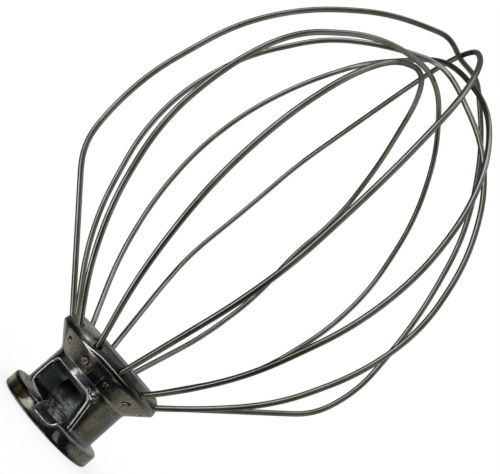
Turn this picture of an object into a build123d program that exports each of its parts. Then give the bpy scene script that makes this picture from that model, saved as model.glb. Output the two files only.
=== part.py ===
from build123d import *
import os
from math import cos, radians, sin, tan
from typing import NamedTuple

# Wire whisk for a stand mixer: six bent wire loops staked into a cast drive hub.
# Millimetres. +Z runs along the hub's axis from the collar to the tip of the cage, and the origin is
# the centre of the collar's end face. Azimuths are degrees from -Y, positive towards +X.

# Hub, turned outline
collar_dia = 35.3
collar_height = 5.1
collar_edge_round = 0.8
body_dia = 28.2
collar_fillet = 1.0
flare_dia = 40.4
flare_angle = 45.0
flare_fillet = 2.0
rim_land = 0.4
shoulder_radius = 4.7
hub_height = 30.0

# Hub, socket for the mixer's drive shaft
bore_dia = 12.8
bore_depth = 26.0

# Hub, bayonet window for the cross pin in that shaft
pin_dia = 4.8
pin_reach = 11.2
pin_clearance = 1.2
entry_azimuth = -6.0
notch_floor = 3.1
notch_end_round = 1.6
window_top = 16.3
window_top_draft = 14.0
window_left_azimuth = -65.0
window_right_azimuth = 16.3
window_right_heading = 9.0
window_right_lean = 13.0
lip_height = 6.2
lip_azimuth = -35.0
lip_slope = 7.3
window_left_round = 2.6
window_right_round = 3.2
lip_root_round = 1.6

# Wire, its holes in the hub and the stake marks that hold it
wire_dia = 1.83
wire_clearance = 0.05
hole_depth = 8.0
hole_elevation = 30.0
stake_wheel_radius = 4.0
stake_depth = 0.6
stake_share = 0.54

# Cage
first_loop_azimuth = -79.4
loop_count = 6
cage_radius = 60.0
inner_crown_height = 131.2


class Loop(NamedTuple):
    """One wire loop, bent in a plane through the hub's axis.

    place: position round the hub, counted from the first loop.
    crown_gap: clear space at the axis between this crown and the one inside it, in wire diameters.
    near, far: bends of the two sides from the hub up to the crown, as shares of the cage's radius and of
        the crown's height above the hub. A third number, a share of the radius too, is the bend radius
        where the bend is tighter than its runs allow.
    """

    place: int
    crown_gap: float
    near: list
    far: list


# Loops in the order their crowns nest, innermost first
LOOPS = [
    Loop(
        place=2,
        crown_gap=0,
        near=[
            (0.688, 0.152),
            (0.920, 0.361),
            (0.953, 0.556),
            (0.838, 0.745),
            (0.622, 0.886),
            (0.317, 0.979),
            (0.117, 1.008),
        ],
        far=[
            (0.717, 0.201),
            (0.832, 0.389),
            (0.700, 0.541),
            (0.737, 0.648),
            (0.703, 0.742),
            (0.487, 0.870),
            (0.100, 0.992),
        ],
    ),
    Loop(
        place=1,
        crown_gap=2.9,
        near=[
            (0.553, 0.074),
            (0.765, 0.205),
            (0.927, 0.383),
            (0.920, 0.571),
            (0.826, 0.727),
            (0.549, 0.874),
            (0.317, 0.951),
            (0.067, 1.000),
        ],
        far=[
            (0.783, 0.210),
            (0.932, 0.441),
            (0.925, 0.600),
            (0.740, 0.801),
            (0.440, 0.935),
            (0.117, 1.000),
        ],
    ),
    Loop(
        place=5,
        crown_gap=2.1,
        near=[
            (0.517, 0.064),
            (0.733, 0.177),
            (0.907, 0.347),
            (0.958, 0.507),
            (0.863, 0.684),
            (0.683, 0.823),
            (0.453, 0.919),
            (0.083, 0.994),
        ],
        far=[
            (0.692, 0.142),
            (0.930, 0.375),
            (0.973, 0.521),
            (0.895, 0.693),
            (0.637, 0.870),
            (0.350, 0.955),
            (0.067, 1.005),
        ],
    ),
    Loop(
        place=4,
        crown_gap=0.5,
        near=[
            (0.492, 0.049),
            (0.717, 0.167),
            (0.922, 0.360),
            (0.963, 0.518),
            (0.883, 0.682),
            (0.720, 0.811),
            (0.458, 0.927),
            (0.100, 0.992),
        ],
        far=[
            (0.683, 0.147),
            (0.912, 0.320),
            (1.013, 0.491),
            (0.980, 0.648),
            (0.817, 0.798),
            (0.560, 0.919),
            (0.322, 0.969),
            (0.108, 1.009),
        ],
    ),
    Loop(
        place=0,
        crown_gap=1.2,
        near=[
            (0.957, 0.223, 0.37),
            (1.008, 0.332),
            (1.013, 0.438),
            (0.933, 0.639),
            (0.753, 0.788),
            (0.450, 0.932),
            (0.107, 1.019, 0.09),
            (0.042, 1.000),
        ],
        far=[
            (0.955, 0.228, 0.40),
            (1.028, 0.338),
            (0.968, 0.544),
            (0.787, 0.764),
            (0.470, 0.921),
            (0.143, 1.011, 0.13),
            (0.042, 1.000),
        ],
    ),
    Loop(
        place=3,
        crown_gap=0.16,
        near=[
            (0.857, 0.205),
            (1.000, 0.314),
            (0.980, 0.538),
            (0.803, 0.772),
            (0.503, 0.914),
            (0.142, 1.000),
        ],
        far=[
            (0.883, 0.190),
            (1.092, 0.294),
            (0.975, 0.491),
            (0.967, 0.648),
            (0.750, 0.759),
            (0.367, 0.939),
            (0.150, 1.000),
        ],
    ),
]

# Sizes that follow from the ones above
collar_radius = collar_dia / 2
body_radius = body_dia / 2
flare_radius = flare_dia / 2
bore_radius = bore_dia / 2
wire_radius = wire_dia / 2
hole_radius = wire_radius + wire_clearance
rim_height = hub_height - shoulder_radius - rim_land
flare_foot = rim_height - (flare_radius - body_radius) * tan(radians(flare_angle))
shoulder_centre_r = flare_radius - shoulder_radius
shoulder_centre_z = hub_height - shoulder_radius
entry_r = shoulder_centre_r + shoulder_radius * cos(radians(hole_elevation))
entry_z = shoulder_centre_z + shoulder_radius * sin(radians(hole_elevation))
keyway_width = pin_dia + 2 * pin_clearance
keyway_reach = pin_reach + pin_clearance
loop_pitch = 180 / loop_count
beyond = collar_dia + flare_dia
run_share = 0.48


def heading(azimuth):
    """Unit vector square to the axis at an azimuth."""
    return Vector(sin(radians(azimuth)), -cos(radians(azimuth)), 0)


def place_at(azimuth, r, z):
    """Point at a distance from the axis and a height."""
    return heading(azimuth) * r + Vector(0, 0, z)


def round_corner(face, r, z, radius):
    """Round the outline's corner at (r, z)."""
    corner = face.vertices().sort_by_distance(Vector(r, 0, z))[0]
    return fillet(corner, radius)


def hub_blank():
    """The casting's outline turned about the axis: collar, body, flare and rounded shoulder."""
    outline = [
        (0, 0),
        (collar_radius, 0),
        (collar_radius, collar_height),
        (body_radius, collar_height),
        (body_radius, flare_foot),
        (flare_radius, rim_height),
        (flare_radius, hub_height),
        (0, hub_height),
    ]
    profile = make_face(Polyline(*[(r, 0, z) for r, z in outline], close=True))
    collar_limit = run_share * min(collar_radius - body_radius, collar_height)
    rounds = [
        (collar_radius, 0, min(collar_edge_round, collar_limit)),
        (collar_radius, collar_height, min(collar_edge_round, collar_limit)),
        (body_radius, collar_height, min(collar_fillet, collar_limit)),
        (body_radius, flare_foot, flare_fillet),
        (flare_radius, hub_height, shoulder_radius),
    ]
    for r, z, radius in rounds:
        profile = round_corner(profile, r, z, radius)
    return revolve(profile, Axis.Z)


def shaft_socket():
    """The blind bore for the drive shaft."""
    return Cylinder(bore_radius, bore_depth, align=(Align.CENTER, Align.CENTER, Align.MIN))


def radial_edge(solid, azimuth, z):
    """The edge of a window cutter that passes nearest to an azimuth and a height on the body."""
    spot = place_at(azimuth, body_radius, z)
    return solid.edges().sort_by(lambda edge: edge.distance_to(spot))[0]


def bayonet_window():
    """The opening that the shaft's cross pin enters from the collar and turns in, above a retaining lip."""
    in_bore = bore_radius - pin_clearance
    top_slope = tan(radians(window_top_draft))
    section = make_face(
        Polyline(
            (0, -in_bore, collar_height),
            (0, -beyond, collar_height),
            (0, -beyond, window_top + (beyond - body_radius) * top_slope),
            (0, -in_bore, window_top - (body_radius - in_bore) * top_slope),
            close=True,
        )
    )
    sector = revolve(Rot(0, 0, window_left_azimuth) * section, Axis.Z, 90 - window_left_azimuth)

    middle = (collar_height + window_top) / 2
    block = 4 * beyond
    wall_spot = Pos(*place_at(window_right_azimuth, body_radius, middle))
    right_wall = Box(block, block, block, align=(Align.MIN, Align.CENTER, Align.CENTER))
    sector -= wall_spot * Rot(0, 0, window_right_heading) * Rot(0, -window_right_lean, 0) * right_wall

    under_lip = Box(block, block, block, align=(Align.CENTER, Align.CENTER, Align.MAX))
    left_of_entry = Box(block, block, block, align=(Align.MAX, Align.CENTER, Align.CENTER))
    lip = Rot(0, 0, lip_azimuth) * Pos(0, 0, lip_height) * Rot(0, lip_slope, 0) * under_lip
    sector -= lip & (Rot(0, 0, entry_azimuth) * Pos(-keyway_width / 2, 0, 0) * left_of_entry)

    sector = fillet(radial_edge(sector, window_left_azimuth, window_top), window_left_round)
    sector = fillet(radial_edge(sector, window_right_azimuth, window_top), window_right_round)
    sector = fillet(radial_edge(sector, window_left_azimuth, lip_height), lip_root_round)

    outward = (Align.CENTER, Align.MAX, Align.MIN)
    notch = Box(keyway_width, beyond, lip_height - notch_floor, align=outward)
    notch = fillet(notch.edges().filter_by(Axis.Y).sort_by(Axis.Z)[:2].sort_by(Axis.X)[-1], notch_end_round)
    keyway = Box(keyway_width, keyway_reach, lip_height, align=outward)
    entry = Pos(0, 0, notch_floor) * notch + keyway
    return sector + Rot(0, 0, entry_azimuth) * entry


class Leg(NamedTuple):
    """One side of a loop: its azimuth, and its bends from the hub up with the radius wanted at each."""

    azimuth: float
    bends: list
    radii: list


def make_leg(azimuth, shares, crown_height):
    """A side of a loop at its real size."""
    bends = [place_at(azimuth, r * cage_radius, hub_height + z * crown_height) for r, z, *_ in shares]
    radii = [radius[0] * cage_radius if radius else None for _, _, *radius in shares]
    return Leg(azimuth, bends, radii)


def make_legs():
    """The two sides of every loop, in the order of the loops."""
    legs = []
    crown_height = inner_crown_height - wire_dia
    for loop in LOOPS:
        crown_height += (1 + loop.crown_gap) * wire_dia
        azimuth = first_loop_azimuth + loop.place * loop_pitch
        near = make_leg(azimuth, loop.near, crown_height)
        legs.append((near, make_leg(azimuth + 180, loop.far, crown_height)))
    return legs


def leg_start(leg):
    """Foot of a leg on its hole's floor, and the leg's direction, which the hole shares."""
    entry = place_at(leg.azimuth, entry_r, entry_z)
    direction = (leg.bends[0] - entry).normalized()
    return entry - direction * hole_depth, direction


def wire_hole(leg):
    """Drilled hole along one leg, from its floor to clear of the shoulder."""
    foot, direction = leg_start(leg)
    drill = Cylinder(hole_radius, 2 * hole_depth, align=(Align.CENTER, Align.CENTER, Align.MIN))
    return Plane(origin=foot, z_dir=direction) * drill


def stake_mark(leg):
    """Chisel mark on the flare, struck along its slope over a wire's hole."""
    slope = radians(flare_angle)
    r = body_radius + stake_share * (flare_radius - body_radius)
    z = flare_foot + stake_share * (rim_height - flare_foot)
    lift = stake_wheel_radius - stake_depth
    centre = place_at(leg.azimuth, r + lift * sin(slope), z - lift * cos(slope))
    edge = Cone(stake_wheel_radius, 0, stake_wheel_radius, align=(Align.CENTER, Align.CENTER, Align.MIN))
    chisel = edge + Rot(180, 0, 0) * edge
    return Plane(origin=centre, z_dir=heading(leg.azimuth + 90)) * chisel


def make_hub(legs):
    """The finished casting."""
    hub = hub_blank() - shaft_socket() - bayonet_window()
    for sides in legs:
        for leg in sides:
            hub -= wire_hole(leg)
            hub -= stake_mark(leg)
    return hub


def bend_radii(points, wanted):
    """Bend radius at each inner point: the wanted one, or the largest that its two runs allow."""
    radii = []
    for before, corner, after, radius in zip(points, points[1:], points[2:], wanted):
        run_in = corner - before
        run_out = after - corner
        half_turn = radians(run_in.get_angle(run_out)) / 2
        largest = run_share * min(run_in.length, run_out.length) / tan(half_turn)
        radii.append(min(radius, largest) if radius else largest)
    return radii


def make_loop(near, far):
    """One loop: a wire swept along straight runs and tangent bends from hole floor to hole floor."""
    points = [leg_start(near)[0], *near.bends, *reversed(far.bends), leg_start(far)[0]]
    wanted = [*near.radii, *reversed(far.radii)]
    path = FilletPolyline(*points, radius=bend_radii(points, wanted))
    section = Plane(origin=path @ 0, z_dir=path % 0) * Circle(wire_radius)
    return sweep(section, path=path)


os.makedirs("parts", exist_ok=True)
legs = make_legs()
export_step(make_hub(legs), "parts/hub.step")
for loop, sides in zip(LOOPS, legs):
    export_step(make_loop(*sides), f"parts/wire_loop_{loop.place + 1}.step")
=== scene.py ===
"""Looks of a stand mixer's wire whisk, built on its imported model.

The whisk stands on its hub's collar with the bayonet window facing -Y. Lengths are metres, and azimuths are
degrees round the hub's axis from -Y, positive towards +X.
"""

import logging
import math
from dataclasses import dataclass, field
from enum import Enum

import bmesh
import bpy
from mathutils import Matrix, Vector
from mathutils.bvhtree import BVHTree
from mathutils.kdtree import KDTree


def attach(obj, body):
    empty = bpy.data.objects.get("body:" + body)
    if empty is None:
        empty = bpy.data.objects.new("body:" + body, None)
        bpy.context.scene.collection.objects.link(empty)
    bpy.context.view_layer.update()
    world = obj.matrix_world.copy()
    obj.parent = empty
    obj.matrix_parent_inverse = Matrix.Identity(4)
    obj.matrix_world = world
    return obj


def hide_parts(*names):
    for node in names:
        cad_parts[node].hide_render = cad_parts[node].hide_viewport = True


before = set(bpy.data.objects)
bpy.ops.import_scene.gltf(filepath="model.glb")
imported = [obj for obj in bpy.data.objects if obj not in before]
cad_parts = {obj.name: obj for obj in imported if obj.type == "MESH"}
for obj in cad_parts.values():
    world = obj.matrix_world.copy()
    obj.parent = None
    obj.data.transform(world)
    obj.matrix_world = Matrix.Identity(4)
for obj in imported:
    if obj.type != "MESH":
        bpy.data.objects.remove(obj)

LOG = logging.getLogger("whisk")
MM = 0.001
BODY = "root"
WEAR = "wear"
WINDOW_GAP = "window_gap"
WARM = (1.0, 0.95, 0.76)
COOL = (0.85, 1.0, 1.3)
# Tones of the tent's glowing cloth, whose colours are painted reflections
BLACK = 0.02
DARK = 0.05
DIM = 0.1
SHADED = 0.15
MIDDLE = 0.24
PALE = 0.34
LIGHT = 0.45
LIT = 1.1
BRIGHT = 2.1
MERGE_DISTANCE = 0.001 * MM
STRIPE_CORE = 0.4

Colour = tuple[float, float, float, float]
Point = tuple[float, float, float]
# A step is its start and end, and may add the levels before and after it, which are otherwise 0 and 1.
Step = tuple[float, ...]
Steps = tuple[Step, ...]
Socket = bpy.types.NodeSocket
Feed = Socket | float | tuple[float, ...]
Stops = tuple[tuple[float, Colour], ...]


class Slot(Enum):
    """Material slots of the record."""

    CASTING = "cast_aluminium"
    WIRE = "steel_wire"


class Form(Enum):
    """How a step rises from its start to its end."""

    SOFT = "SMOOTHSTEP"
    STRAIGHT = "LINEAR"


def mm(*lengths: float) -> Step:
    """Lengths that are given in millimetres."""
    return tuple(length * MM for length in lengths)


def grey(level: float) -> Colour:
    """A neutral colour of the given level."""
    return (level, level, level, 1.0)


def warm(level: float) -> Colour:
    """A yellowish colour of the given level."""
    return (*(level * part for part in WARM), 1.0)


def cool(level: float) -> Colour:
    """A bluish colour of the given level."""
    return (*(level * part for part in COOL), 1.0)


def heading(azimuth: float) -> Vector:
    """Unit vector square to the hub's axis, at an azimuth."""
    turn = math.radians(azimuth)
    return Vector((math.sin(turn), -math.cos(turn), 0.0))


@dataclass(frozen=True)
class Pattern:
    """Soft noise: its largest features, its finer layers and their strength, and the step it is cut to."""

    size: float
    detail: float
    rough: float
    step: Step
    form: Form = Form.SOFT


@dataclass
class Graph:
    """A node tree, with one method for each kind of node that the finishes use."""

    tree: bpy.types.NodeTree

    def add(self, kind: str, **settings: object) -> bpy.types.Node:
        """Add a node and set its properties.

        Args:
            kind: the node's type name.
            settings: property names and values.

        Returns:
            The new node.
        """
        node = self.tree.nodes.new(kind)
        for name, value in settings.items():
            setattr(node, name, value)
        return node

    def feed(self, socket: Socket, value: Feed) -> None:
        """Link a socket to another one, or set its own value.

        Args:
            socket: the socket to feed.
            value: another socket, or a plain value.
        """
        if isinstance(value, bpy.types.NodeSocket):
            self.tree.links.new(value, socket)
        else:
            socket.default_value = value

    def coords(self) -> Socket:
        """Object coordinates of the piece."""
        return self.add("ShaderNodeTexCoord").outputs["Object"]

    def mapped(self, vector: Socket, scale: Point) -> Socket:
        """Stretch a pattern's coordinates.

        Args:
            vector: the coordinates.
            scale: factor along each axis.

        Returns:
            The changed coordinates.
        """
        node = self.add("ShaderNodeMapping")
        self.feed(node.inputs["Vector"], vector)
        node.inputs["Scale"].default_value = scale
        return node.outputs["Vector"]

    def pattern(self, vector: Socket, pattern: Pattern) -> Socket:
        """Soft noise, cut to a step.

        Args:
            vector: the coordinates.
            pattern: the noise's size and step, in the coordinates' unit.

        Returns:
            The stepped value.
        """
        node = self.add("ShaderNodeTexNoise")
        self.feed(node.inputs["Vector"], vector)
        node.inputs["Scale"].default_value = 1.0 / pattern.size
        node.inputs["Detail"].default_value = pattern.detail
        node.inputs["Roughness"].default_value = pattern.rough
        return self.band(node.outputs[0], *pattern.step, form=pattern.form)

    def math(self, operation: str, first: Feed, second: Feed = 0.0) -> Socket:
        """Do one arithmetic step.

        Args:
            operation: the step's type name.
            first: the first value.
            second: the second value, where the step has one.

        Returns:
            The result.
        """
        node = self.add("ShaderNodeMath", operation=operation)
        self.feed(node.inputs[0], first)
        self.feed(node.inputs[1], second)
        return node.outputs[0]

    def product(self, first: Socket, *others: Feed) -> Socket:
        """Multiply values.

        Args:
            first: the first value.
            others: the values to multiply it by.

        Returns:
            The product.
        """
        for other in others:
            first = self.math("MULTIPLY", first, other)
        return first

    def largest(self, first: Socket, *others: Feed) -> Socket:
        """Pick the largest of some values.

        Args:
            first: the first value.
            others: the values to compare it with.

        Returns:
            The largest value.
        """
        for other in others:
            first = self.math("MAXIMUM", first, other)
        return first

    def band(
        self,
        value: Socket,
        start: float,
        end: float,
        low: float = 0.0,
        high: float = 1.0,
        form: Form = Form.SOFT,
    ) -> Socket:
        """Step of a value.

        Args:
            value: the value to read.
            start: where the step starts.
            end: where the step ends.
            low: result before the step.
            high: result after it.
            form: how the step rises.

        Returns:
            The stepped value.
        """
        node = self.add("ShaderNodeMapRange", interpolation_type=form.value)
        self.feed(node.inputs["Value"], value)
        node.inputs["From Min"].default_value = start
        node.inputs["From Max"].default_value = end
        node.inputs["To Min"].default_value = low
        node.inputs["To Max"].default_value = high
        return node.outputs["Result"]

    def fade(self, value: Socket, steps: Steps) -> Socket:
        """Several steps of one value, multiplied."""
        return self.product(*(self.band(value, *step) for step in steps))

    def stripe(self, value: Socket, centre: float, half_width: float) -> Socket:
        """One where a value is near the centre, falling to zero at the half width."""
        away = self.math("ABSOLUTE", self.math("SUBTRACT", value, centre))
        return self.band(away, half_width, STRIPE_CORE * half_width)

    def attribute(self, name: str) -> Socket:
        """A value that the piece's mesh carries."""
        return self.add("ShaderNodeAttribute", attribute_name=name).outputs["Fac"]

    def split(self, vector: Socket) -> tuple[Socket, Socket, Socket]:
        """Take a vector apart.

        Args:
            vector: the vector.

        Returns:
            Its three parts.
        """
        node = self.add("ShaderNodeSeparateXYZ")
        self.feed(node.inputs[0], vector)
        return node.outputs["X"], node.outputs["Y"], node.outputs["Z"]

    def azimuth(self, vector: Socket) -> Socket:
        """Find the azimuth of a place.

        Args:
            vector: its coordinates.

        Returns:
            Degrees from -Y, positive towards +X.
        """
        x, y, _ = self.split(vector)
        angle = self.math("ARCTAN2", x, self.math("MULTIPLY", y, -1.0))
        return self.math("DEGREES", angle)

    def radius(self, vector: Socket) -> Socket:
        """Find how far a place is from the hub's axis.

        Args:
            vector: its coordinates.

        Returns:
            The distance.
        """
        flat = self.mapped(vector, scale=(1.0, 1.0, 0.0))
        node = self.add("ShaderNodeVectorMath", operation="LENGTH")
        self.feed(node.inputs[0], flat)
        return node.outputs["Value"]

    def ramp(self, value: Socket, stops: Stops) -> Socket:
        """Colours along a value.

        Args:
            value: the value to read.
            stops: values and their colours, in rising order.

        Returns:
            The colour.
        """
        low, high = stops[0][0], stops[-1][0]
        node = self.add("ShaderNodeValToRGB")
        self.feed(node.inputs["Fac"], self.band(value, low, high, form=Form.STRAIGHT))
        elements = node.color_ramp.elements
        for _ in stops[2:]:
            elements.new(0.5)
        for element, (place, colour) in zip(elements, stops):
            element.position = (place - low) / (high - low)
            element.color = colour
        return node.outputs["Color"]

    def mix(self, share: Feed, first: Feed, second: Feed, blend: str = "MIX") -> Socket:
        """Mix two colours.

        Args:
            share: share of the second colour.
            first: the colour at share 0.
            second: the colour at share 1.
            blend: how they mix.

        Returns:
            The mixed colour.
        """
        node = self.add("ShaderNodeMix", data_type="RGBA", blend_type=blend)
        self.feed(node.inputs[0], share)
        self.feed(node.inputs[6], first)
        self.feed(node.inputs[7], second)
        return node.outputs[2]

    def bump(self, height: Socket, depth: float) -> Socket:
        """Surface normal of a relief.

        Args:
            height: relief from 0 to 1.
            depth: its depth.

        Returns:
            The normal.
        """
        node = self.add("ShaderNodeBump")
        node.inputs["Strength"].default_value = 1.0
        node.inputs["Distance"].default_value = depth
        self.feed(node.inputs["Height"], height)
        return node.outputs["Normal"]


def new_material(name: str) -> tuple[bpy.types.Material, Graph, bpy.types.Node]:
    """Start a surface material.

    Args:
        name: the material's name.

    Returns:
        The material, its graph and its surface shader.
    """
    material = bpy.data.materials.new(name)
    material.use_nodes = True
    graph = Graph(material.node_tree)
    return material, graph, material.node_tree.nodes["Principled BSDF"]


def seen_as_background(graph: Graph) -> Socket:
    """One for a ray that shows the background: from the camera, a reflection or through glass."""
    rays = graph.add("ShaderNodeLightPath").outputs
    return graph.largest(rays["Is Camera Ray"], rays["Is Glossy Ray"], rays["Is Transmission Ray"])


@dataclass(frozen=True)
class HubPoint:
    """Where a point of the casting lies.

    away is its distance from the axis and turn its azimuth. wear says how much was rubbed off there, and gap
    how far the bayonet window's edge is.
    """

    coords: Socket
    away: Socket
    turn: Socket
    height: Socket
    wear: Socket
    gap: Socket


class Follows(Enum):
    """What a line on the casting keeps to: one height, or one distance from the window's edge."""

    HEIGHT = "height"
    WINDOW = "gap"


@dataclass(frozen=True)
class Line:
    """A line on the casting, and the steps of radius, azimuth and height that it fades in over."""

    follows: Follows
    centre: float
    half_width: float
    radii: Step
    turns: Steps
    heights: Steps = ()
    broken: bool = False


@dataclass(frozen=True)
class CastingFinish:
    """Burnished casting, tarnished and speckled, with bright edges, painted highlights, reflections and
    shade, a machined bore and darker corners.
    """

    name: str = "tarnished_casting"

    metal: Colour = (0.250, 0.252, 0.228, 1.0)
    tarnish: Colour = (0.172, 0.182, 0.185, 1.0)
    # Pale colour of the lip's streaks, a painted reflection.
    pale: Colour = (0.80, 0.80, 0.74, 1.0)
    rust: Colour = (0.115, 0.085, 0.05, 1.0)
    bright: Colour = (0.86, 0.86, 0.83, 1.0)
    machined: Colour = (0.88, 0.90, 0.91, 1.0)
    wall: Colour = (0.19, 0.22, 0.21, 1.0)
    deep_shade: Colour = (0.060, 0.068, 0.068, 1.0)
    near_black: Colour = (0.020, 0.019, 0.017, 1.0)
    # Painted reflection on the shoulder: light left of the front, dark in front, grey round the back.
    shoulder_reflection: Stops = (
        (-180.0, (0.30, 0.30, 0.26, 1.0)),
        (-80.0, (0.32, 0.32, 0.27, 1.0)),
        (-55.0, (0.58, 0.58, 0.50, 1.0)),
        (-33.0, (0.58, 0.58, 0.52, 1.0)),
        (-28.0, (0.11, 0.112, 0.115, 1.0)),
        (-10.0, (0.082, 0.088, 0.092, 1.0)),
        (26.0, (0.060, 0.062, 0.060, 1.0)),
        (38.0, (0.24, 0.24, 0.20, 1.0)),
        (180.0, (0.30, 0.30, 0.26, 1.0)),
    )
    # Painted reflection on the collar's left side: black, then brown.
    tint: Stops = (
        (-66.0, metal),
        (-61.0, grey(0.006)),
        (-51.0, grey(0.006)),
        (-47.0, (0.105, 0.080, 0.040, 1.0)),
        (-39.0, (0.085, 0.070, 0.045, 1.0)),
        (-30.0, metal),
    )

    cloud: Pattern = Pattern(7.0 * MM, 4.0, 0.6, (0.42, 0.60))
    speck: Pattern = Pattern(1.0 * MM, 4.0, 0.65, (0.56, 0.66))
    grain: Pattern = Pattern(0.55 * MM, 2.0, 0.6, (0.32, 0.68, 0.62, 1.14))
    wander: Pattern = Pattern(3.0 * MM, 4.0, 0.6, (0.0, 1.0, -6.0, 6.0), Form.STRAIGHT)
    streaks: Pattern = Pattern(0.45 * MM, 2.0, 0.5, (0.40, 0.60, 0.25, 1.0))
    lathe: Pattern = Pattern(0.5 * MM, 3.0, 0.6, (0.46, 0.68))
    lathe_stretch: Point = (0.02, 0.02, 1.0)
    blotch: Pattern = Pattern(1.6 * MM, 2.0, 0.5, (0.36, 0.60, 0.40, 1.32))
    gaps: Pattern = Pattern(2.2 * MM, 4.0, 0.6, (0.38, 0.52, 0.45, 1.0))
    jagged: Pattern = Pattern(1.0 * MM, 3.0, 0.6, (0.48, 0.60))
    jagged_stretch: Point = (1.0, 1.0, 2.0)
    polish: Pattern = Pattern(2.5 * MM, 4.0, 0.6, (0.3, 0.7, 0.07, 0.15))
    relief: Pattern = Pattern(4.0 * MM, 2.0, 0.5, (0.0, 1.0), Form.STRAIGHT)
    relief_depth: float = 0.06 * MM

    body: Step = mm(13.6, 13.8)
    rim: Step = mm(19.4, 19.6)
    shoulder_foot: Step = mm(25.3, 25.6)
    top_edge: Step = mm(14.0, 15.2)
    # Painted highlight along the top edge.
    crest_highlight: Step = (*mm(29.5, 29.8), 0.0, 0.3)
    # Where the collar's painted reflection lies.
    reflection_turns: Steps = ((-66.0, -63.0), (-30.0, -33.0))
    reflection_top: Step = mm(5.1, 4.5)
    lip_radii: Step = mm(13.2, 13.6)
    lip_turns: Steps = ((-150.0, -105.0), (-26.0, -30.0))
    lip_heights: Steps = (mm(4.8, 5.1), mm(7.1, 6.4))
    wall_radii: Step = mm(13.2, 12.4)
    wall_top: Step = mm(17.0, 16.0)
    wall_shade: Step = (-16.0, -4.0)
    bore_radii: Step = mm(6.6, 6.4)
    bore_top: Step = mm(26.6, 26.2)
    # Painted shade in the bore: dark at its mouth and above, darker on its -X side.
    bore_mouth_shade: Step = mm(2.3, 2.6)
    bore_shade: Step = mm(8.0, 12.0)
    bore_side_shade: Step = (*mm(-4.5, 1.0), 0.45, 1.0)
    rubbed_edge: Step = (0.2, 0.6)
    rubbed_top: Step = mm(25.3, 24.8)
    corner_darkening: Step = (-0.15, -0.6)
    glint_climb: Step = (-31.0, -6.0, *mm(25.2, 26.35))
    glint_turns: Steps = ((-34.0, -29.0), (28.0, 8.0))
    glint_half_width: float = 0.2 * MM
    # Painted reflection: the jagged bright patch on the body.
    reflection_patch_turn: float = 11.5
    reflection_patch_height: float = 16.7 * MM
    reflection_patch_scale: Step = (0.15, 1.0 / MM)
    reflection_patch_fade: Step = (4.0, 0.4)

    # A darker band round the front of the rim.
    rim_dark_band: Line = Line(
        Follows.HEIGHT,
        *mm(25.75, 0.95),
        radii=mm(19.0, 19.6),
        turns=((-80.0, -60.0), (70.0, 26.0, 0.0, 0.9)),
    )
    # Painted dark reflection on the collar's upper part, below the lip.
    collar_dark_reflection: Line = Line(
        Follows.HEIGHT,
        *mm(4.15, 0.75),
        radii=mm(16.6, 16.9),
        turns=((-66.0, -58.0), (-14.0, -18.0)),
    )
    # Painted highlights along edges and lines of the casting.
    rim_edge: Line = Line(
        Follows.HEIGHT,
        *mm(25.1, 0.16),
        radii=rim,
        turns=((-24.0, -16.0), (24.0, 10.0, 0.1, 0.45)),
        broken=True,
    )
    flare_foot: Line = Line(
        Follows.HEIGHT,
        *mm(19.1, 0.2),
        radii=body,
        turns=((-52.0, -36.0, 0.0, 0.4), (44.0, 22.0, 0.25, 1.0)),
    )
    window_edge: Line = Line(
        Follows.WINDOW,
        *mm(0.35, 0.34),
        radii=body,
        turns=((-34.0, -20.0),),
        heights=(mm(6.1, 7.1),),
    )
    window_bead: Line = Line(
        Follows.WINDOW,
        *mm(1.45, 0.22),
        radii=body,
        turns=((-14.0, -6.0),),
        heights=(mm(5.1, 6.1), mm(15.5, 14.5)),
    )
    lip_edge: Line = Line(
        Follows.WINDOW,
        *mm(0.25, 0.24),
        radii=body,
        turns=((-14.0, -20.0, 0.0, 0.6),),
        heights=(mm(5.1, 5.6), mm(8.1, 7.1)),
    )
    collar_foot: Line = Line(
        Follows.HEIGHT,
        *mm(0.3, 0.22),
        radii=mm(17.0, 17.2),
        turns=((24.0, 6.0),),
        broken=True,
    )
    collar_edge: Line = Line(
        Follows.HEIGHT,
        *mm(4.72, 0.20),
        radii=mm(16.6, 16.8),
        turns=((-8.0, -2.0), (44.0, 18.0, 0.0, 0.55)),
        broken=True,
    )

    wear_and_highlight_haze: float = 0.2
    reflection_patch_haze: float = 0.45
    wear_and_highlight_rough: float = 0.42
    reflection_patch_rough: float = 0.62
    lip_rough: float = 0.50
    wall_rough: float = 0.36
    bore_rough: float = 0.34
    shoulder_rough: float = 0.26
    top_rough: float = 0.42

    def material(self) -> bpy.types.Material:
        """Build the finish.

        Returns:
            The finished material.
        """
        material, graph, shader = new_material(self.name)
        point = self.point(graph)
        above = graph.band(point.height, *self.shoulder_foot)
        flank = graph.product(above, graph.band(point.away, *self.top_edge))
        lip = self.lip(graph, point)
        walls = graph.band(point.away, *self.wall_radii)
        walls = graph.product(walls, graph.band(point.height, *self.wall_top))
        bored = graph.band(point.away, *self.bore_radii)
        bored = graph.product(bored, graph.band(point.height, *self.bore_top))
        wear_and_highlights = self.wear_and_highlights(graph, point)
        reflection_patch = self.reflection_patch(graph, point)
        ragged = graph.math("ADD", point.turn, graph.pattern(point.coords, self.wander))
        layers = (
            (flank, graph.ramp(ragged, self.shoulder_reflection)),
            (self.line(graph, point, self.rim_dark_band), self.near_black),
            (self.reflection_side(graph, point), graph.ramp(point.turn, self.tint)),
            (self.line(graph, point, self.collar_dark_reflection), self.near_black),
            (lip, self.pale),
            # Painted shade on the window's inner walls, darkest towards +X.
            (walls, graph.mix(graph.band(point.turn, *self.wall_shade), self.wall, self.deep_shade)),
            (bored, self.bore(graph, point)),
        )
        colour = self.skin(graph, point)
        for share, layer in layers:
            colour = graph.mix(share, colour, layer)
        colour = graph.mix(1.0, colour, graph.pattern(point.coords, self.grain), "MULTIPLY")
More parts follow.
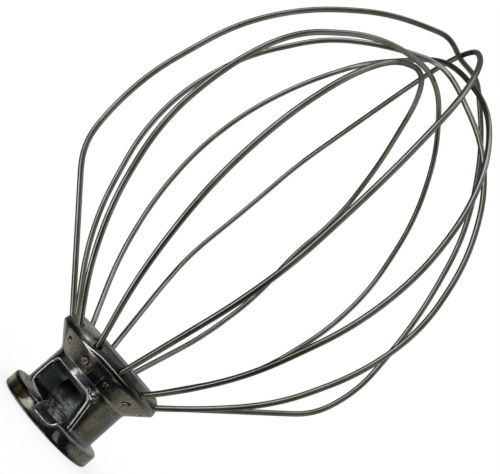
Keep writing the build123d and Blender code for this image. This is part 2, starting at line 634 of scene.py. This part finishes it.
        # Bright metal: rubbed edges, painted highlights along lines, and a painted reflection patch.
        colour = graph.mix(graph.largest(wear_and_highlights, reflection_patch), colour, self.bright)
        # Darker in concave corners and in the struck marks' grooves.
        colour = graph.mix(graph.band(point.wear, *self.corner_darkening), colour, self.near_black)
        graph.feed(shader.inputs["Base Color"], colour)
        haze = graph.product(wear_and_highlights, self.wear_and_highlight_haze)
        haze = graph.largest(haze, graph.product(reflection_patch, self.reflection_patch_haze))
        graph.feed(shader.inputs["Metallic"], graph.math("SUBTRACT", 1.0, haze))
        dull = (
            (wear_and_highlights, self.wear_and_highlight_rough),
            (reflection_patch, self.reflection_patch_rough),
            (lip, self.lip_rough),
            (walls, self.wall_rough),
            (bored, self.bore_rough),
            (above, self.shoulder_rough),
            (graph.math("SUBTRACT", above, flank), self.top_rough),
        )
        polish = graph.pattern(point.coords, self.polish)
        rough = graph.largest(polish, *(graph.product(share, level) for share, level in dull))
        graph.feed(shader.inputs["Roughness"], rough)
        relief = graph.pattern(point.coords, self.relief)
        graph.feed(shader.inputs["Normal"], graph.bump(relief, self.relief_depth))
        return material

    def point(self, graph: Graph) -> HubPoint:
        """Read where each point of the casting lies.

        Args:
            graph: the finish's graph.

        Returns:
            Its place, wear and distance from the window.
        """
        coords = graph.coords()
        _, _, height = graph.split(coords)
        wear, gap = graph.attribute(WEAR), graph.attribute(WINDOW_GAP)
        return HubPoint(coords, graph.radius(coords), graph.azimuth(coords), height, wear, gap)

    def line(self, graph: Graph, point: HubPoint, line: Line) -> Socket:
        """Draw one line.

        Args:
            graph: the finish's graph.
            point: where each point lies.
            line: the line.

        Returns:
            The line's share of the surface.
        """
        level = graph.stripe(getattr(point, line.follows.value), line.centre, line.half_width)
        fades = [graph.band(point.away, *line.radii), graph.fade(point.turn, line.turns)]
        if line.heights:
            fades.append(graph.fade(point.height, line.heights))
        if line.broken:
            fades.append(graph.pattern(point.coords, self.gaps))
        return graph.product(level, *fades)

    def skin(self, graph: Graph, point: HubPoint) -> Socket:
        """Colour of the plain skin: tarnish in clouds, and specks of rust."""
        colour = graph.mix(graph.pattern(point.coords, self.cloud), self.metal, self.tarnish)
        return graph.mix(graph.pattern(point.coords, self.speck), colour, self.rust)

    def reflection_side(self, graph: Graph, point: HubPoint) -> Socket:
        """One on the collar's left side, where a black and brown reflection is painted."""
        side = graph.fade(point.turn, self.reflection_turns)
        return graph.product(side, graph.band(point.height, *self.reflection_top))

    def lip(self, graph: Graph, point: HubPoint) -> Socket:
        """Draw pale streaks, a painted reflection, on the lip and the collar's end left of the notch.

        Args:
            graph: the finish's graph.
            point: where each point lies.

        Returns:
            The streaks' share of the surface.
        """
        node = graph.add("ShaderNodeCombineXYZ")
        graph.feed(node.inputs["X"], point.away)
        fades = graph.fade(point.turn, self.lip_turns), graph.fade(point.height, self.lip_heights)
        streaks = graph.pattern(node.outputs[0], self.streaks)
        return graph.product(streaks, *fades, graph.band(point.away, *self.lip_radii))

    def bore(self, graph: Graph, point: HubPoint) -> Socket:
        """Colour the bore: lathe marks, blotched towards the collar, with painted shade above, at the mouth
        and on its -X side.

        Args:
            graph: the finish's graph.
            point: where each point lies.

        Returns:
            The colour.
        """
        lathe = graph.pattern(graph.mapped(point.coords, self.lathe_stretch), self.lathe)
        side, _, _ = graph.split(point.coords)
        blotch = graph.product(graph.pattern(point.coords, self.blotch), graph.band(side, *self.bore_side_shade))
        turned = graph.mix(1.0, graph.mix(lathe, self.machined, self.tarnish), blotch, "MULTIPLY")
        turned = graph.mix(graph.band(point.height, *self.bore_mouth_shade), self.deep_shade, turned)
        return graph.mix(graph.band(point.height, *self.bore_shade), turned, self.deep_shade)

    def wear_and_highlights(self, graph: Graph, point: HubPoint) -> Socket:
        """Find where the metal is bright: rubbed on edges, with painted highlights along lines, on the crest
        and on the rim's glint.

        Args:
            graph: the finish's graph.
            point: where each point lies.

        Returns:
            The share of bright metal.
        """
        edges = graph.band(point.wear, *self.rubbed_edge)
        edges = graph.product(edges, graph.band(point.height, *self.rubbed_top))
        crest_highlight = graph.band(point.height, *self.crest_highlight)
        crest_highlight = graph.product(crest_highlight, graph.band(point.away, *self.top_edge))
        lines = (
            self.rim_edge,
            self.flare_foot,
            self.window_edge,
            self.window_bead,
            self.lip_edge,
            self.collar_foot,
            self.collar_edge,
        )
        highlight_lines = (self.line(graph, point, line) for line in lines)
        return graph.largest(edges, crest_highlight, self.glint(graph, point), *highlight_lines)

    def glint(self, graph: Graph, point: HubPoint) -> Socket:
        """Draw the painted highlight that climbs across the rim.

        Args:
            graph: the finish's graph.
            point: where each point lies.

        Returns:
            The line's share of the surface.
        """
        climb = graph.math("SUBTRACT", point.height, graph.band(point.turn, *self.glint_climb))
        level = graph.stripe(climb, 0.0, self.glint_half_width)
        fades = graph.fade(point.turn, self.glint_turns), graph.band(point.away, *self.rim)
        return graph.product(level, *fades)

    def reflection_patch(self, graph: Graph, point: HubPoint) -> Socket:
        """Draw the jagged bright patch, a painted reflection, on the body above the window's right side.

        Args:
            graph: the finish's graph.
            point: where each point lies.

        Returns:
            The patch's share of the surface.
        """
        per_degree, per_metre = self.reflection_patch_scale
        across = graph.product(graph.math("SUBTRACT", point.turn, self.reflection_patch_turn), per_degree)
        upward = graph.product(graph.math("SUBTRACT", point.height, self.reflection_patch_height), per_metre)
        squares = graph.math("ADD", graph.product(across, across), graph.product(upward, upward))
        fades = graph.band(squares, *self.reflection_patch_fade), graph.band(point.away, *self.body)
        jagged = graph.pattern(graph.mapped(point.coords, self.jagged_stretch), self.jagged)
        return graph.product(jagged, *fades)


@dataclass(frozen=True)
class WireFinish:
    """Drawn steel wire, dulled by use."""

    name: str = "drawn_wire"
    steel: Colour = (0.335, 0.338, 0.315, 1.0)
    olive: Colour = (0.245, 0.242, 0.190, 1.0)
    dark: Colour = (0.11, 0.108, 0.095, 1.0)
    edge_tint: Colour = grey(0.35)
    # Olive stains in patches.
    tint: Pattern = Pattern(14.0 * MM, 4.0, 0.6, (0.42, 0.62))
    streak: Pattern = Pattern(1.0, 4.0, 0.65, (0.54, 0.70))
    streak_stretch: Point = (3.0, 30.0, 1.0)
    streak_share: float = 0.7
    roughness: Step = (0.0, 1.0, 0.17, 0.30)

    def material(self) -> bpy.types.Material:
        """Build the finish.

        Returns:
            The finished material.
        """
        material, graph, shader = new_material(self.name)
        colour = graph.mix(graph.pattern(graph.coords(), self.tint), self.steel, self.olive)
        lengthwise = graph.mapped(graph.add("ShaderNodeUVMap").outputs["UV"], self.streak_stretch)
        streak = graph.pattern(lengthwise, self.streak)
        colour = graph.mix(graph.product(streak, self.streak_share), colour, self.dark)
        graph.feed(shader.inputs["Base Color"], colour)
        shader.inputs["Metallic"].default_value = 1.0
        shader.inputs["Specular Tint"].default_value = self.edge_tint
        graph.feed(shader.inputs["Roughness"], graph.band(streak, *self.roughness))
        return material


@dataclass(frozen=True)
class SweepFinish:
    """White paper that keeps a soft shadow round the foot of the whisk, and is dark under the hub."""

    name: str = "white_sweep"
    paper: Colour = grey(0.95)
    shadow: Step = (0.1, 0.5, 0.75, 1.0)
    covered: Step = mm(16.5, 17.5)

    def material(self) -> bpy.types.Material:
        """Build the finish.

        Returns:
            The finished material.
        """
        material, graph, shader = new_material(self.name)
        shader.inputs["Base Color"].default_value = self.paper
        shader.inputs["Roughness"].default_value = 1.0
        shader.inputs["Specular IOR Level"].default_value = 0.0
        away = graph.radius(graph.coords())
        plain = graph.fade(away, (self.shadow, self.covered))
        mixed = graph.add("ShaderNodeMixShader")
        graph.feed(mixed.inputs[0], graph.product(seen_as_background(graph), plain))
        graph.feed(mixed.inputs[1], shader.outputs[0])
        graph.feed(mixed.inputs[2], graph.add("ShaderNodeEmission").outputs[0])
        graph.feed(material.node_tree.nodes["Material Output"].inputs["Surface"], mixed.outputs[0])
        return material


@dataclass(frozen=True)
class TentFinish:
    """Glowing cloth whose colour changes with azimuth, painted as a room's reflections: walls, and a sheet on
    the table in rings round the whisk.

    The walls have a lit strip and a lit corner at the left. Each reach is a distance from the hub's axis, and
    corner_height is measured from the middle of the walls.
    """

    name: str = "glowing_tent"
    walls: Stops = (
        (-180.0, grey(MIDDLE)),
        (-165.0, grey(DIM)),
        (-150.0, grey(DARK)),
        (-100.0, grey(DARK)),
        (-80.0, grey(DARK)),
        (-65.0, grey(LIT)),
        (-43.0, grey(LIT)),
        (-35.0, grey(MIDDLE)),
        (6.0, grey(SHADED)),
        (14.0, grey(DIM)),
        (46.0, grey(DIM)),
        (58.0, grey(MIDDLE)),
        (82.0, grey(PALE)),
        (180.0, grey(MIDDLE)),
    )
    back_left: Stops = (
        (-180.0, grey(MIDDLE)),
        (-150.0, grey(PALE)),
        (-134.0, grey(SHADED)),
        (-124.0, grey(BLACK)),
        (-108.0, grey(BLACK)),
        (-94.0, warm(SHADED)),
        (-66.0, warm(SHADED)),
    )
    back_right: Stops = (
        (68.0, warm(MIDDLE)),
        (92.0, warm(MIDDLE)),
        (130.0, grey(MIDDLE)),
        (180.0, grey(MIDDLE)),
    )
    table: Stops = (
        *back_left,
        (-52.0, grey(MIDDLE)),
        (-49.0, grey(LIT)),
        (-41.0, grey(LIT)),
        (-36.0, grey(PALE)),
        (-26.0, grey(MIDDLE)),
        (-8.0, warm(DIM)),
        (54.0, warm(DARK)),
        *back_right,
    )
    apron: Stops = (
        *back_left,
        (-52.0, grey(MIDDLE)),
        (-49.0, grey(BRIGHT)),
        (-41.0, grey(BRIGHT)),
        (-36.0, cool(PALE)),
        (-26.0, cool(MIDDLE)),
        (-8.0, cool(DARK)),
        (40.0, cool(BLACK)),
        (54.0, grey(BLACK)),
        *back_right,
    )
    foot: Stops = (
        (-180.0, grey(MIDDLE)),
        (-118.0, warm(LIGHT)),
        (-80.0, warm(PALE)),
        (-62.0, warm(SHADED)),
        (-48.0, warm(DIM)),
        (-45.0, warm(LIT)),
        (-37.0, warm(LIT)),
        (-32.0, grey(LIT)),
        (-28.0, grey(SHADED)),
        (-8.0, cool(DARK)),
        (10.0, cool(BLACK)),
        (18.0, cool(BLACK)),
        (20.0, warm(LIGHT)),
        (26.0, warm(LIGHT)),
        (29.0, grey(BLACK)),
        (46.0, grey(BLACK)),
        (54.0, warm(MIDDLE)),
        (72.0, warm(PALE)),
        (102.0, warm(PALE)),
        (180.0, grey(MIDDLE)),
    )
    shade: Stops = (
        (-180.0, grey(SHADED)),
        (-85.0, warm(MIDDLE)),
        (-60.0, grey(DIM)),
        (-50.0, grey(DARK)),
        (-42.0, warm(SHADED)),
        (-28.0, grey(SHADED)),
        (-22.0, grey(BLACK)),
        (40.0, grey(BLACK)),
        (56.0, warm(SHADED)),
        (90.0, warm(MIDDLE)),
        (180.0, grey(SHADED)),
    )
    under: Colour = grey(MIDDLE)
    corner: Colour = grey(MIDDLE)
    table_reach: Step = (0.5, 0.4)
    apron_reach: Step = (0.20, 0.14)
    foot_reach: Step = (0.050, 0.040)
    shade_reach: Step = (0.025, 0.019)
    under_reach: Step = (0.0175, 0.016)
    corner_turn: Step = (-105.0, -130.0)
    corner_height: Step = (-1.6, -1.1)
    glow: float = 1.6

    def material(self) -> bpy.types.Material:
        """Build the finish.

        Returns:
            The finished material.
        """
        material, graph, _ = new_material(self.name)
        coords = graph.coords()
        turn, away = graph.azimuth(coords), graph.radius(coords)
        _, _, height = graph.split(coords)
        cornered = graph.product(graph.band(turn, *self.corner_turn), graph.band(height, *self.corner_height))
        rings = (
            (self.table_reach, graph.ramp(turn, self.table)),
            (self.apron_reach, graph.ramp(turn, self.apron)),
            (self.foot_reach, graph.ramp(turn, self.foot)),
            (self.shade_reach, graph.ramp(turn, self.shade)),
            (self.under_reach, self.under),
        )
        colour = graph.mix(cornered, graph.ramp(turn, self.walls), self.corner)
        for reach, ring in rings:
            colour = graph.mix(graph.band(away, *reach), colour, ring)
        cloth = graph.add("ShaderNodeEmission")
        cloth.inputs["Strength"].default_value = self.glow
        graph.feed(cloth.inputs["Color"], colour)
        graph.feed(material.node_tree.nodes["Material Output"].inputs["Surface"], cloth.outputs[0])
        return material


@dataclass
class PhotoCamera:
    """Camera at the photograph's viewing angle."""

    place: Point = (0.0, -0.2711, 0.03453)
    aim: Point = (-0.00139, 0.0, 0.08537)
    roll: float = -48.70
    lens: float = 61.97
    sensor: float = 36.0
    nearest: float = 0.01

    def build(self) -> bpy.types.Object:
        """Add the camera and make it the scene's own.

        Returns:
            The camera.
        """
        forward = (Vector(self.aim) - Vector(self.place)).normalized()
        level = forward.cross(Vector((0.0, 0.0, 1.0))).normalized()
        down = forward.cross(level)
        turn = math.radians(self.roll)
        right = level * math.cos(turn) + down * math.sin(turn)
        up = level * math.sin(turn) - down * math.cos(turn)
        pose = Matrix((right, up, -forward)).transposed().to_4x4()
        pose.translation = Vector(self.place)
        bpy.ops.object.camera_add()
        camera = bpy.context.object
        camera.name = "photo_camera"
        camera.matrix_world = pose
        camera.data.lens = self.lens
        camera.data.sensor_width = self.sensor
        camera.data.sensor_fit = "HORIZONTAL"
        camera.data.clip_start = self.nearest
        bpy.context.scene.camera = camera
        return camera


@dataclass
class SoftBox:
    """One rectangular studio lamp that faces the whisk."""

    name: str
    place: Point
    width: float
    height: float
    watts: float
    aim: Point = (0.0, 0.0, 0.07)

    def build(self) -> bpy.types.Object:
        """Add the lamp.

        Returns:
            The lamp.
        """
        bpy.ops.object.light_add(type="AREA", location=self.place)
        lamp = bpy.context.object
        lamp.name = self.name
        away = Vector(self.place) - Vector(self.aim)
        lamp.rotation_mode = "QUATERNION"
        lamp.rotation_quaternion = away.to_track_quat("Z", "Y")
        lamp.data.shape = "RECTANGLE"
        lamp.data.size = self.width
        lamp.data.size_y = self.height
        lamp.data.energy = self.watts
        lamp.visible_glossy = False
        return lamp


@dataclass
class Studio:
    """White sweep, lamps, tent and sky round the whisk."""

    floor_side: float = 6.0
    sky_light: float = 1.0
    tent_radius: float = 1.5
    tent_height: float = 4.0
    tent_lift: float = 0.2 * MM
    tent_sides: int = 96
    lamps: list[SoftBox] = field(
        default_factory=lambda: [
            SoftBox("key_lamp", (-0.75, -0.55, 0.35), width=0.22, height=0.7, watts=1.5),
            SoftBox("strip_lamp", (0.78, -0.55, 0.35), width=0.07, height=0.7, watts=0.4),
        ]
    )

    def build(self) -> None:
        """Add the floor, the tent, the lamps and the sky."""
        bpy.context.scene.view_settings.view_transform = "Standard"
        bpy.ops.mesh.primitive_plane_add(size=self.floor_side)
        floor = bpy.context.object
        floor.name = "white_floor"
        floor.data.materials.append(SweepFinish().material())
        self.build_tent()
        for lamp in self.lamps:
            lamp.build()
        self.build_sky()

    def build_tent(self) -> None:
        """Add glowing cloth that only reflections show: a wall all round and a table sheet, open at the top.
        """
        bpy.ops.mesh.primitive_cylinder_add(
            vertices=self.tent_sides, radius=self.tent_radius, depth=self.tent_height
        )
        tent = bpy.context.object
        tent.name = "tent"
        tent.location.z = self.tent_height / 2 + self.tent_lift
        bpy.ops.object.mode_set(mode="EDIT")
        bpy.ops.mesh.select_all(action="DESELECT")
        bpy.ops.object.mode_set(mode="OBJECT")
        for face in tent.data.polygons:
            face.select = face.normal.z > 0.5
        bpy.ops.object.mode_set(mode="EDIT")
        bpy.ops.mesh.delete(type="FACE")
        bpy.ops.object.mode_set(mode="OBJECT")
        tent.data.materials.append(TentFinish().material())
        for ray in ("camera", "diffuse", "transmission", "volume_scatter", "shadow"):
            setattr(tent, f"visible_{ray}", False)

    def build_sky(self) -> None:
        """Add a white sky that lights the whisk evenly."""
        world = bpy.data.worlds.new("white_sky")
        bpy.context.scene.world = world
        world.use_nodes = True
        background = world.node_tree.nodes["Background"]
        background.inputs["Color"].default_value = grey(1.0)
        background.inputs["Strength"].default_value = self.sky_light


def work_on(piece: bpy.types.Object) -> None:
    """Make a piece the only selected and active one.

    Args:
        piece: the piece.
    """
    bpy.ops.object.select_all(action="DESELECT")
    piece.select_set(True)
    bpy.context.view_layer.objects.active = piece


def dress(piece: bpy.types.Object, material: bpy.types.Material) -> None:
    """Give a piece its finish.

    Args:
        piece: the piece.
        material: its finish.
    """
    if piece.material_slots:
        piece.material_slots[0].material = material
    else:
        piece.data.materials.append(material)
    LOG.info("%s: %s", piece.name, material.name)


def copy_node(node: str, name: str) -> bpy.types.Object:
    """Start a new piece from the solid that it stands for.

    Args:
        node: the solid's name.
        name: the new piece's name.

    Returns:
        The piece, with its doubles merged.
    """
    piece = bpy.data.objects.new(name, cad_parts[node].data.copy())
    bpy.context.scene.collection.objects.link(piece)
    work_on(piece)
    bpy.ops.object.mode_set(mode="EDIT")
    bpy.ops.mesh.select_all(action="SELECT")
    bpy.ops.mesh.remove_doubles(threshold=MERGE_DISTANCE)
    bpy.ops.object.mode_set(mode="OBJECT")
    return piece


def apply_modifier(piece: bpy.types.Object, kind: str, **settings: object) -> None:
    """Add one modifier to the active piece and apply it.

    Args:
        piece: the piece.
        kind: the modifier's type.
        settings: property names and values.
    """
    modifier = piece.modifiers.new(kind.lower(), kind)
    for name, value in settings.items():
        setattr(modifier, name, value)
    bpy.ops.object.modifier_apply(modifier=modifier.name)


def keep_value(piece: bpy.types.Object, name: str, values: list[float]) -> None:
    """Store one number for each vertex of a piece, for its finish to read."""
    piece.data.attributes.new(name, "FLOAT", "POINT").data.foreach_set("value", values)


@dataclass
class Hub:
    """The cast drive hub, with the soft edges of a burnished casting and a struck mark under each wire."""

    node: str = "hub"
    name: str = "hub_casting"
    grain: float = 0.32 * MM
    smoothing: float = 0.5
    softening: int = 4
    full_wear: float = 0.08 * MM
    window_left: float = -80.0
    window_right: float = 30.0
    window_top: float = 17.5 * MM
    window_depth: float = 11.0 * MM
    sharp_angle: float = math.radians(35.0)
    outline_step: float = 0.1 * MM
    edge_reach: float = 1.6 * MM
    edge_softening: int = 40
    flare_slope: float = math.sqrt(2.0)
    flare_reach: float = 2.6 * MM
    first_mark: float = -79.4
    mark_pitch: float = 30.0
    mark_count: int = 12
    mark_radius: float = 17.4 * MM
    mark_height: float = 22.1 * MM
    mark_size: float = 1.3 * MM
    mark_width: float = 0.28 * MM
    mark_depth: float = 0.35 * MM
    mark_squeeze: float = 1.15
    mark_stretch: float = 0.85
    mark_limit: float = 3.25 * MM
    mark_lean: float = 0.9
    mark_lean_pace: float = 2.3
    mark_opening: float = 0.15
    mark_swing: float = 0.95
    mark_darkening: float = 1.3
    burr_size: float = 0.585 * MM
    burr_share: float = 0.35

    def build(self) -> bpy.types.Object:
        """Model and dress the casting.

        Returns:
            The casting.
        """
        piece = copy_node(self.node, self.name)
        outline = self.window_outline(piece)
        apply_modifier(piece, "REMESH", mode="VOXEL", voxel_size=self.grain, use_smooth_shade=True)
        wear = self.rub_down(piece)
        self.round_window(piece, outline)
        self.strike_marks(piece, wear)
        keep_value(piece, WEAR, wear)
        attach(piece, BODY)
        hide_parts(self.node)
        dress(piece, CastingFinish().material())
        return piece

    def window_outline(self, piece: bpy.types.Object) -> list[Vector]:
        """Find points close together along the sharp outer edges of the bayonet window.

        Args:
            piece: the casting, with its edges still sharp.

        Returns:
            The points.
        """
        mesh = bmesh.new()
        mesh.from_mesh(piece.data)
        points = []
        for edge in mesh.edges:
            first, last = (vertex.co.copy() for vertex in edge.verts)
            sharp = edge.is_convex and edge.calc_face_angle(0.0) > self.sharp_angle
            if sharp and self.at_window((first + last) / 2):
                count = math.ceil(edge.calc_length() / self.outline_step) + 1
                points += [first.lerp(last, step / count) for step in range(count + 1)]
        mesh.free()
        return points

    def rub_down(self, piece: bpy.types.Object) -> list[float]:
        """Take the sharpness off every edge.

        Args:
            piece: the casting.

        Returns:
            How much went from each vertex: about 1 on a sharp edge and negative in a corner.
        """
        cast = [vertex.co.copy() for vertex in piece.data.vertices]
        apply_modifier(piece, "SMOOTH", factor=self.smoothing, iterations=self.softening)
        return [(old - v.co).dot(v.normal) / self.full_wear for old, v in zip(cast, piece.data.vertices)]

    def round_window(self, piece: bpy.types.Object, outline: list[Vector]) -> None:
        """Round the outer edges of the bayonet window further than the other edges.

        Args:
            piece: the casting.
            outline: points along those edges.
        """
        tree = KDTree(len(outline))
        for index, spot in enumerate(outline):
            tree.insert(spot, index)
        tree.balance()
        gaps = [tree.find(vertex.co)[2] for vertex in piece.data.vertices]
        keep_value(piece, WINDOW_GAP, gaps)
        group = piece.vertex_groups.new(name="window_edge")
        for index, gap in enumerate(gaps):
            if gap < self.edge_reach:
                group.add([index], 1.0 - gap / self.edge_reach, "REPLACE")
        apply_modifier(
            piece, "SMOOTH", factor=self.smoothing, iterations=self.edge_softening, vertex_group=group.name
        )
        piece.vertex_groups.clear()

    def at_window(self, spot: Vector) -> bool:
        """Tell whether a place is on the outer part of the casting round the bayonet window.

        Args:
            spot: the place.

        Returns:
            True there.
        """
        turn = math.degrees(math.atan2(spot.x, -spot.y))
        outside = spot.xy.length > self.window_depth and spot.z < self.window_top
        return outside and self.window_left < turn < self.window_right

    def strike_marks(self, piece: bpy.types.Object, wear: list[float]) -> None:
        """Sink a crescent into the flare under each wire, with a burr inside it.

        Args:
            piece: the casting.
            wear: wear of each vertex, which the marks change.
        """
        flare = [(v.index, v.co.copy(), v.normal.copy()) for v in piece.data.vertices if self.on_flare(v.co)]
        for step in range(self.mark_count):
            out = heading(self.first_mark + step * self.mark_pitch)
            centre = out * self.mark_radius + Vector((0.0, 0.0, self.mark_height))
            across = out.cross(Vector((0.0, 0.0, 1.0)))
            lean = self.mark_lean * math.sin(self.mark_lean_pace * step)
            for index, spot, normal in flare:
                wide, tall = (spot - centre).dot(across), spot.z - centre.z
                reach = math.hypot(self.mark_squeeze * wide, self.mark_stretch * tall * self.flare_slope)
                if reach > self.mark_limit:
                    continue
                cut = self.mark_opening + self.mark_swing * math.sin(math.atan2(tall, wide) + lean)
                cut = min(1.0, max(0.0, cut))
                groove = cut * self.ridge(reach - self.mark_size)
                burr = self.burr_share * cut * self.ridge(reach - self.burr_size)
                piece.data.vertices[index].co = spot - normal * self.mark_depth * (groove - burr)
                wear[index] += burr - self.mark_darkening * groove

    def ridge(self, offset: float) -> float:
        """Height of a round ridge at a distance from its line."""
        return math.exp(-((offset / self.mark_width) ** 2))

    def on_flare(self, spot: Vector) -> bool:
        """Tell whether a place is on the flare, where the marks are."""
        offsets = spot.z - self.mark_height, spot.xy.length - self.mark_radius
        return max(map(abs, offsets)) < self.flare_reach


@dataclass
class Cage:
    """The six wire loops, each drawn along its solid's centre line."""

    prefix: str = "wire_loop"
    wire_dia: float = 1.83 * MM
    centre_height: float = 95 * MM
    reach: float = 150 * MM
    open_angle: float = 11.0
    steps: int = 116
    buried: float = 4 * MM
    order: int = 4
    smoothness: int = 4
    roundness: int = 10

    def build(self) -> None:
        """Model and dress every loop."""
        material = WireFinish().material()
        for node in sorted(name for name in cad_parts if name.startswith(self.prefix)):
            loop = self.draw(node)
            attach(loop, BODY)
            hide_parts(node)
            dress(loop, material)

    def centre_line(self, node: str) -> list[Vector]:
        """Find points along the middle of a loop's wire, from one foot to the other.

        Args:
            node: the loop's solid.

        Returns:
            The points, with both ends inside the hub.
        """
        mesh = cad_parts[node].data
        tree = BVHTree.FromPolygons([v.co for v in mesh.vertices], [p.vertices for p in mesh.polygons])
        widest = max((v.co for v in mesh.vertices), key=lambda co: co.xy.length)
        across = Vector((widest.x, widest.y, 0.0)).normalized()
        centre = Vector((0.0, 0.0, self.centre_height))
        points = []
        for step in range(self.steps + 1):
            turn = math.radians((180.0 - self.open_angle) * (2.0 * step / self.steps - 1.0))
            ray = across * math.sin(turn) + Vector((0.0, 0.0, math.cos(turn)))
            inner = tree.ray_cast(centre, ray)[0]
            outer = tree.ray_cast(centre + ray * self.reach, -ray)[0]
            if inner is not None and outer is not None:
                points.append((inner + outer) / 2.0)
        first = points[0] + (points[0] - points[1]).normalized() * self.buried
        last = points[-1] + (points[-1] - points[-2]).normalized() * self.buried
        return [first, *points, last]

    def draw(self, node: str) -> bpy.types.Object:
        """Model one loop as a round wire.

        Args:
            node: the loop's solid.

        Returns:
            The loop, with its length and girth as UV map.
        """
        points = self.centre_line(node)
        bpy.ops.curve.primitive_nurbs_path_add(location=(0.0, 0.0, 0.0))
        loop = bpy.context.object
        loop.name = f"{node}_wire"
        curve = loop.data
        spline = curve.splines[0]
        spline.points.add(len(points) - len(spline.points))
        for knot, point in zip(spline.points, points):
            knot.co = (*point, 1.0)
        spline.order_u = self.order
        spline.use_endpoint_u = True
        curve.resolution_u = self.smoothness
        curve.bevel_depth = self.wire_dia / 2
        curve.bevel_resolution = self.roundness
        curve.use_fill_caps = True
        bpy.ops.object.convert(target="MESH")
        bpy.ops.object.shade_smooth()
        return bpy.context.object


def main() -> None:
    """Build the whisk's looks and its studio."""
    logging.basicConfig(level=logging.INFO, format="%(name)s: %(message)s")
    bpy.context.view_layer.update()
    bpy.ops.object.select_all(action="DESELECT")
    Hub().build()
    Cage().build()
    Studio().build()
    PhotoCamera().build()


if __name__ == "__main__":
    main()
